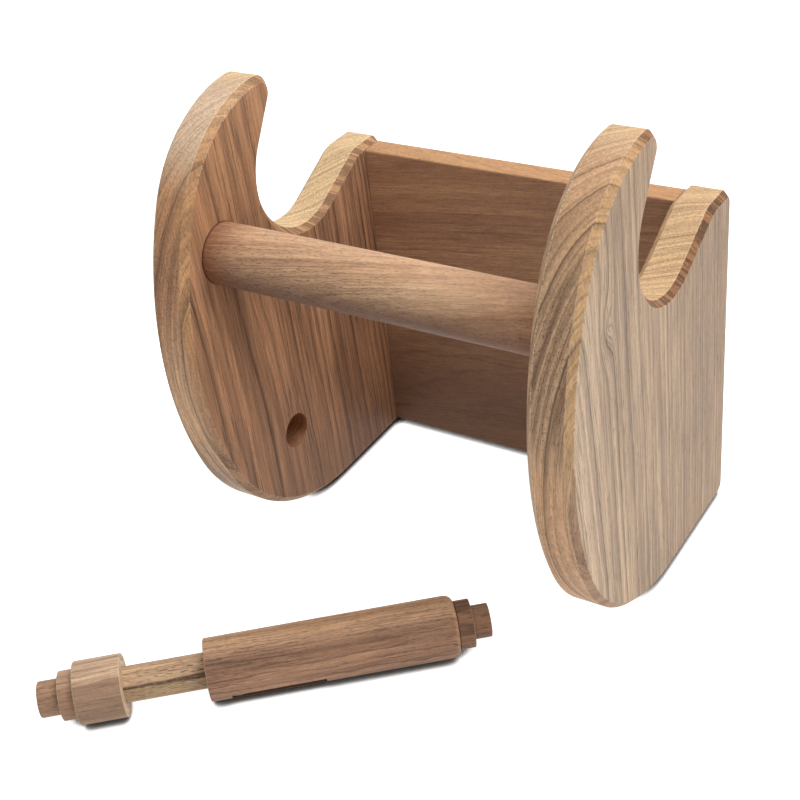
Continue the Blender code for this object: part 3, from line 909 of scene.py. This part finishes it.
    def finish(self, pores=0.5):
        """Pores, roughness and bump."""
        self.cover(self.times(self.pore, pores), PORE_TONE)
        self.feed(self.shader.inputs["Base Color"], self.colour)
        rough = self.math("MULTIPLY_ADD", self.fibre, self.FIBRE_ROUGHNESS, self.ROUGHNESS)
        rough = self.math("MULTIPLY_ADD", self.pore, self.PORE_ROUGHNESS, rough)
        self.feed(self.shader.inputs["Roughness"], rough)
        height = self.times(self.fibre, self.FIBRE_HEIGHT)
        height = self.math("MULTIPLY_ADD", self.pore, self.PORE_DEPTH, height)
        height = self.math("MULTIPLY_ADD", self.line, self.RING_DEPTH, height)
        bump = self.nodes.new("ShaderNodeBump")
        bump.inputs["Strength"].default_value = self.BUMP_STRENGTH
        bump.inputs["Distance"].default_value = self.BUMP_HEIGHT
        self.feed(bump.inputs["Height"], height)
        self.feed(self.shader.inputs["Normal"], bump.outputs[0])
        self.shader.inputs["Specular IOR Level"].default_value = self.SPECULAR
        return self.material


def spring_steel():
    """Bright drawn wire with fine lines and a little dull patina."""
    tree = Tree("spring_steel_drawn")
    coordinates = tree.nodes.new("ShaderNodeTexCoord")
    lines = tree.noise(coordinates.outputs["Object"], 4.0, 0.7)
    colour = tree.mix(lines, (0.42, 0.41, 0.40), (0.72, 0.72, 0.72))
    tree.feed(tree.shader.inputs["Base Color"], colour)
    tree.shader.inputs["Metallic"].default_value = 1.0
    tree.feed(tree.shader.inputs["Roughness"], tree.span(lines, 0.3, 0.7, 0.22, 0.42))
    return tree.material


def left_cheek_look():
    """Orange-brown wood in the shade, with strong dark lines."""
    wood = Teak(
        "teak_left_cheek_grain", pith=(96, -200), lean=(0.045, 0.0), rings=(178, 6.0, 248, 2.3),
        tones=((210, 156, 116), (186, 136, 101), (60, 42, 38), (158, 120, 96)), seed=2.0,
        wander=1.0, lines=1.0, streaks=0.45, hairs=0.7, softness=0.35)
    wood.fade(wood.place["Z"], 120, 150, 0.45, (206, 154, 110), 0.75)
    # Painted shade: the cheek darkens towards the floor.
    wood.fade(wood.place["Z"], 34, 10, 0.5, (152, 116, 90), 0.6)
    wood.end_grain(
        (242, 206, 156), dark_lines=0.7, front_tone=(219, 191, 163), front_lines=0.45)
    # The front edge's foot is brightened with painted bounce light from the floor.
    wood.narrow_edge(
        tint=(1.2, 1.2, 1.18), foot_bounce_light=(1.24, 1.5, 1.66), foot=124, streak=(146, 112, 88),
        amount=0.35, low=80, high=140)
    wood.chamfers(
        1, (206, 158, 108), pale_edge=(232, 200, 162), low=(204, 166, 134), hump=(200, 154, 110),
        hump_dark=(126, 90, 64))
    wood.chamfers(-1, (200, 166, 130), pale_edge=(230, 206, 174), amount=0.5, wear_and_highlight=1.4)
    # Painted shade inside the roller's bore.
    wood.hollow(roller_bore(wood), BORE_SHADE_TONE)
    return wood.finish(pores=0.4)


def right_cheek_look():
    """Pale grey-brown wood with thin dark lines and a dark brown chamfer on the hump."""
    wood = Teak(
        "teak_right_cheek_grain", pith=(107, -143), lean=(0.11, 0.0), rings=(50, 5.6, 130, 2.1),
        tones=((212, 181, 148), (190, 161, 131), (94, 72, 58), (174, 149, 124)), seed=7.0,
        wander=1.1, lines=0.95, streaks=0.45, hairs=0.6, softness=0.55,
        swirl={"v": -100.5, "w": 130.4, "reach_v": 5, "reach_w": 11, "height": 4})
    wood.fade(wood.place["Y"], -92, -122, 0.4, (232, 204, 172), 0.9)
    wood.fade(wood.place["Z"], 135, 165, 0.4, (158, 128, 101), 0.9)
    wood.fade(wood.place["Y"], -72, -30, 0.6, (166, 138, 111), 0.9)
    wood.end_grain(
        (223, 186, 140), amount=0.9, dark_lines=0.95, dark=(128, 88, 58),
        front_tone=(206, 172, 138))
    # The front edge's foot is brightened with painted bounce light from the floor.
    wood.narrow_edge(
        tint=(1.10, 0.98, 0.87), foot_bounce_light=(1.28, 1.21, 1.16), foot=114, streak=(98, 58, 38),
        amount=0.68, low=105, high=146)
    wood.chamfers(
        1, (206, 160, 108), pale_edge=(214, 186, 152), low=(172, 128, 98), hump=(156, 108, 72),
        hump_dark=(74, 50, 38), amount=0.9)
    wood.chamfers(-1, (232, 186, 134), pale_edge=(246, 226, 198), wear_and_highlight=1.6)
    # Painted shade inside the roller's bore.
    wood.hollow(roller_bore(wood), BORE_SHADE_TONE)
    return wood.finish(pores=0.4)


def roller_bore(wood):
    """One inside the roller's bore in a cheek, nothing elsewhere."""
    off_y = wood.math("ADD", wood.place["Y"], ROLLER_FROM_WALL)
    off_z = wood.math("SUBTRACT", wood.place["Z"], ROLLER_HEIGHT)
    within = wood.within_circle(off_y, off_z, ROLLER_BORE_RADIUS + HOLE_MARGIN)
    bottom = INNER_WIDTH / 2 + ROLLER_BORE_DEPTH + HOLE_MARGIN
    inside = wood.math("LESS_THAN", wood.math("ABSOLUTE", wood.place["X"]), bottom)
    return wood.times(within, inside)


def board_look():
    """Brown wood with fine level lines, painted shade low down, and a light orange top edge."""
    wood = Teak(
        "teak_board_grain", grain="YZX", pith=(60, 30), rings=(50, 3.4, 110, 2.4),
        tones=((198, 152, 116), (182, 137, 105), (112, 78, 60), (168, 124, 96)), seed=11.0,
        wander=1.0, lines=0.25, streaks=0.27, hairs=0.5, slant=(0.0, 0.133), grit=2.0)
    # Painted shade: the board darkens towards its foot between the cheeks.
    wood.fade(wood.place["Z"], 75, 25, 0.7, (112, 80, 62), 0.4)
    wood.fade(wood.facing["Z"], 0.5, 0.8, 0.9, (202, 152, 106), 0.4)
    return wood.finish(pores=0.35)


def bar_look():
    """Orange-tan wood with fine dark pores, painted shade on its lower side, redder at its ends and
    dark at them.
    """
    wood = Teak(
        "teak_bar_grain", pith=(8, -23), rings=(15, 3.0, 35, 2.4),
        tones=((225, 184, 146), (211, 167, 130), (116, 74, 54), (203, 157, 123)), seed=15.0,
        wander=1.2, lines=0.33, streaks=0.22, hairs=0.5, sparse=0.63, ripples=0.9,
        slant=(-0.12, 0.12), grit=2.0)
    # Painted shade on the bar's lower side, darkest at the very bottom.
    wood.painted_side_shading(0.0, -5.0, 4.5, 0.9, (106, 76, 58))
    wood.painted_side_shading(0.0, 5.0, 9.5, 0.65, (94, 69, 53))
    wood.fade(wood.w, -46, -64, 0.75, (136, 84, 58), 0.5)
    wood.fade(wood.math("ABSOLUTE", wood.w), 62.4, 63.4, 0.75, (84, 48, 32), 0.3)
    wood.fade(wood.w, 22, 60, 0.5, (162, 112, 80), 0.5)
    return wood.finish(pores=0.55)


def barrel_look():
    """Brown wood with wavy dark streaks, a painted lighter top, and painted shade in its slot."""
    wood = Teak(
        "teak_barrel_grain", pith=(-16, 14), rings=(10, 2.8, 35, 2.2),
        tones=((190, 146, 115), (161, 121, 95), (82, 57, 44), (146, 111, 90)), seed=19.0,
        wander=2.0, lines=0.55, streaks=0.5, hairs=0.9, softness=0.4, sparse=0.62, ripples=1.2,
        grit=1.6)
    wood.end_grain((206, 166, 122))
    wood.rims((222, 184, 138), low=BARREL_START - 1, high=BARREL_START + 2)
    # Painted light: the barrel's upper side is lighter, where the light from above falls.
    wood.painted_side_shading(2.4, 1.0, 8.0, 0.75, (216, 172, 132))
    # Painted shade in the slot and in the bore beside it.
    within = wood.within_circle(wood.u, wood.v, ROLLER_RADIUS - HOLE_MARGIN)
    middle = SLOT_START + SLOT_LENGTH / 2
    near = wood.math("COMPARE", wood.w, middle, SLOT_LENGTH / 2 + HOLE_MARGIN)
    wood.hollow(wood.times(within, near), (60, 36, 24))
    return wood.finish()


def plug_look():
    """Dark, strongly streaked wood, redder at its tip."""
    wood = Teak(
        "teak_plug_grain", pith=(12, 10), rings=(5, 2.6, 25, 2.2),
        tones=((158, 116, 88), (134, 98, 74), (54, 36, 28), (118, 84, 66)), seed=23.0,
        wander=1.0, lines=0.8, streaks=0.7, hairs=0.6)
    wood.fade(wood.w, BARREL_END + 5, BARREL_END + 7, 0.4, (172, 132, 102), 0.6)
    wood.end_grain((150, 112, 82))
    wood.rims((196, 158, 112))
    return wood.finish(pores=0.8)


def rod_look():
    """Golden brown wood, with a near-black stripe and yellower wood below it."""
    wood = Teak(
        "teak_rod_grain", pith=(8, 9), rings=(5, 4.0, 20, 3.0),
        tones=((250, 214, 174), (226, 188, 149), (100, 72, 55), (204, 166, 132)), seed=27.0,
        wander=1.2, lines=0.5, streaks=0.5, hairs=0.6, sparse=0.62, ripples=0.7, grit=1.6)
    wood.end_grain((190, 150, 108))
    wood.rims((232, 204, 150), amount=0.8)
    wood.fade(wood.w, 20, 10, 0.8, (164, 126, 100), 0.5)
    wood.striped_side(
        LOWER_FRONT, 1.4, 2.2, 0.8, (186, 158, 120), stripe=(64, 42, 32), low=22, high=30)
    return wood.finish(pores=0.8)


def collar_look():
    """Pale tan wood with painted shade on its lower side, browner on its step, with slanting
    streaks.
    """
    wood = Teak(
        "teak_collar_grain", pith=(-18, 12), lean=(0.16, 0.10), rings=(10, 3.4, 35, 2.8),
        tones=((238, 206, 172), (220, 184, 152), (114, 82, 64), (198, 162, 132)), seed=31.0,
        wander=1.8, lines=0.6, streaks=0.5, hairs=0.6)
    # Painted shade on the collar's lower side.
    wood.painted_side_shading(LOWER_FRONT, -5.0, -1.0, 0.8, (152, 118, 94), dark_lines=0.9)
    wood.fade(wood.w, COLLAR_START + 0.2, COLLAR_START - 0.2, 0.5, (182, 140, 112), 0.5)
    wood.end_grain((228, 200, 166))
    wood.rims((236, 206, 164), amount=0.7)
    return wood.finish(pores=0.4)


def dowel_look():
    """Pale dowels, whose mesh is in metres."""
    wood = Teak(
        "teak_dowel_grain", grain="YZX", pith=(9, 60), rings=(5, 2.6, 40, 2.2), seed=37.0,
        tones=((214, 184, 148), (192, 158, 122), (132, 98, 72), (180, 146, 112)), unit=1 / MM)
    wood.end_grain((214, 178, 132))
    return wood.finish()


def pin_look():
    """The brown stop pin, whose mesh is in metres."""
    wood = Teak(
        "teak_pin_grain", pith=(9, 12), rings=(5, 2.2, 40, 2.0), seed=41.0,
        tones=((176, 138, 104), (150, 112, 84), (88, 60, 46), (140, 104, 80)), unit=1 / MM)
    return wood.finish()


def build_pieces():
    """All visible pieces with their woods, and the looks of the hidden ones."""
    cheek("left_cheek", -1, left_cheek_look())
    cheek("right_cheek", 1, right_cheek_look())
    back_board(board_look())
    cross_bar(bar_look())
    roller_barrel(barrel_look())
    roller_end_plug(plug_look())
    plunger_rod(rod_look())
    plunger_collar(collar_look())
    plunger_spring(spring_steel())
    hidden = {"dowel": dowel_look(), "stop_pin": pin_look()}
    for node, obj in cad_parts.items():
        for start, look in hidden.items():
            if node.startswith(start):
                obj.material_slots[0].material = look


def seen_as_background(nodes, links):
    """One for the rays that show the surroundings: the camera's, and those in gloss and glass."""
    path = nodes.new("ShaderNodeLightPath")
    seen = path.outputs["Is Camera Ray"]
    for name in ("Is Glossy Ray", "Is Transmission Ray"):
        either = nodes.new("ShaderNodeMath")
        either.operation = "MAXIMUM"
        links.new(seen, either.inputs[0])
        links.new(path.outputs[name], either.inputs[1])
        seen = either.outputs[0]
    return seen


def white_floor():
    """A floor that shows as white, and darkens only where a piece stands on it: there its real
    shadow shows, deepened by a painted contact shadow from ambient occlusion.
    """
    body = bmesh.new()
    bmesh.ops.create_grid(body, x_segments=1, y_segments=1, size=FLOOR_SIZE)
    floor = new_object("floor", body)
    floor.location = (0, 0, FLOOR_Z)
    tree = Tree("white_floor")
    tree.shader.inputs["Roughness"].default_value = 0.9
    corner = tree.nodes.new("ShaderNodeAmbientOcclusion")
    corner.samples = 8
    corner.inputs["Distance"].default_value = CONTACT_REACH
    # Painted contact shadow: near a piece the white glow fades out and the floor's colour darkens.
    open_air = tree.span(corner.outputs["AO"], 0.4, 0.68, 0.0, 0.95)
    lit = tree.span(corner.outputs["AO"], 0.3, 0.64)
    tree.feed(tree.shader.inputs["Base Color"], tree.mix(lit, CONTACT_SHADOW_TONE, FLOOR_TONE))
    glow = tree.nodes.new("ShaderNodeEmission")
    seen = seen_as_background(tree.nodes, tree.links)
    tree.feed(glow.inputs["Strength"], tree.times(seen, open_air))
    both = tree.nodes.new("ShaderNodeAddShader")
    tree.links.new(tree.shader.outputs[0], both.inputs[0])
    tree.links.new(glow.outputs[0], both.inputs[1])
    tree.links.new(both.outputs[0], tree.output.inputs["Surface"])
    floor.data.materials.append(tree.material)


def white_surroundings():
    """A world that is white to look at, and gives a little even light."""
    world = bpy.data.worlds.new("white_surroundings")
    bpy.context.scene.world = world
    world.use_nodes = True
    nodes = world.node_tree.nodes
    links = world.node_tree.links
    strength = nodes.new("ShaderNodeMapRange")
    strength.inputs["To Min"].default_value = SURROUNDINGS_LIGHT
    strength.inputs["To Max"].default_value = 1.0
    links.new(seen_as_background(nodes, links), strength.inputs["Value"])
    background = nodes["Background"]
    background.inputs["Color"].default_value = (1, 1, 1, 1)
    links.new(strength.outputs["Result"], background.inputs["Strength"])


def soft_box(name, place, aim, size, power):
    """A square lamp at a place, turned to what it aims at."""
    lamp = bpy.data.lights.new(name, "AREA")
    lamp.shape = "SQUARE"
    lamp.size = size
    lamp.energy = power
    obj = bpy.data.objects.new(name, lamp)
    obj.location = place
    obj.rotation_euler = (Vector(aim) - Vector(place)).to_track_quat("-Z", "Y").to_euler()
    bpy.context.scene.collection.objects.link(obj)


def camera():
    """The camera, where the photograph was taken from."""
    lens = bpy.data.cameras.new("camera")
    lens.lens = CAMERA_LENS
    obj = bpy.data.objects.new("camera", lens)
    obj.location = CAMERA_PLACE
    obj.rotation_euler = Euler([math.radians(turn) for turn in CAMERA_TURN])
    bpy.context.scene.collection.objects.link(obj)
    bpy.context.scene.camera = obj
    bpy.context.scene.view_settings.view_transform = "Standard"


build_pieces()
white_floor()
white_surroundings()
for lamp_values in LAMPS:
    soft_box(*lamp_values)
camera()
